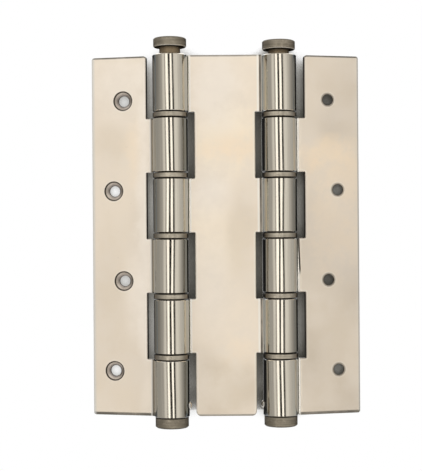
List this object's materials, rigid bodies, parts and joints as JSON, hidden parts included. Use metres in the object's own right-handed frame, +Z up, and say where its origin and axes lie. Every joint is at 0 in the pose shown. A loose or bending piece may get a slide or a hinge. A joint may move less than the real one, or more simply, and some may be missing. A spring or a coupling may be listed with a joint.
{
  "type": "double action cafe hinge",
  "caption": "Double action spring hinge: two screwed leaves on rolled, washered barrels either side of a centre plate, each barrel with a winding head.",
  "frame": {"origin": "middle of the hinge lying open: on the centre line of the centre plate, halfway between the left head's top and the underside of the base caps", "axes": "+Z up along the barrels, heads up; +X from the door leaf to the jamb leaf; -Y is the side that the picture shows, from which the door leaf's countersinks are seen"},
  "size_m": [0.1122, 0.0172, 0.1614],
  "materials": {
    "plated_sheet": "satin nickel plate, warm, with a soft shine",
    "bearing_ring": "turned, duller and darker than the sheet",
    "turned_cap": "dull turned steel",
    "polished_pin": "polished",
    "bare_steel": "bare, oiled",
    "spring_steel": "oil tempered"
  },
  "bodies": {
    "jamb_leaf": {"jamb_leaf": "plated_sheet", "right_base_plug": "turned_cap", "right_plug_pin": "polished_pin", "right_torsion_spring": "spring_steel"},
    "centre_plate": {"centre_plate": "plated_sheet", "left_bearing_washer_1": "bearing_ring", "left_bearing_washer_2": "bearing_ring", "left_bearing_washer_3": "bearing_ring", "left_bearing_washer_4": "bearing_ring", "left_bearing_washer_5": "bearing_ring", "left_spring_tube": "bare_steel", "left_top_bush": "bare_steel", "right_bearing_washer_1": "bearing_ring", "right_bearing_washer_2": "bearing_ring", "right_bearing_washer_3": "bearing_ring", "right_bearing_washer_4": "bearing_ring", "right_bearing_washer_5": "bearing_ring", "right_spring_tube": "bare_steel", "right_top_bush": "bare_steel"},
    "door_leaf": {"door_leaf": "plated_sheet", "left_base_plug": "turned_cap", "left_plug_pin": "polished_pin", "left_torsion_spring": "spring_steel"},
    "left_sleeve": {"left_winding_sleeve": "bare_steel"},
    "left_head": {"left_head": "turned_cap"},
    "right_sleeve": {"right_winding_sleeve": "bare_steel"},
    "right_head": {"right_head": "turned_cap"}
  },
  "joints": [
    {"name": "right_fold", "type": "hinge", "parent": "jamb_leaf", "child": "centre_plate", "pos_m": [0.02265, 0.0013, -0.00125], "axis": [0, 0, -1], "range_deg": [-147.5, 167.5], "deforming": ["right_torsion_spring"]},
    {"name": "left_fold", "type": "hinge", "parent": "centre_plate", "child": "door_leaf", "pos_m": [-0.02265, -0.0013, -0.00125], "axis": [0, 0, 1], "range_deg": [-122.5, 192.5], "deforming": ["left_torsion_spring"]},
    {"name": "left_wind", "type": "hinge", "parent": "centre_plate", "child": "left_sleeve", "pos_m": [-0.02265, -0.0013, -0.00125], "axis": [0, 0, 1], "range_deg": [0, 360]},
    {"name": "left_press", "type": "slide", "parent": "left_sleeve", "child": "left_head", "axis": [0, 0, 1], "range_m": [-0.00295, 0]},
    {"name": "right_wind", "type": "hinge", "parent": "centre_plate", "child": "right_sleeve", "pos_m": [0.02265, 0.0013, -0.00125], "axis": [0, 0, 1], "range_deg": [0, 360]},
    {"name": "right_press", "type": "slide", "parent": "right_sleeve", "child": "right_head", "axis": [0, 0, 1], "range_m": [-0.00195, 0.001]}
  ]
}
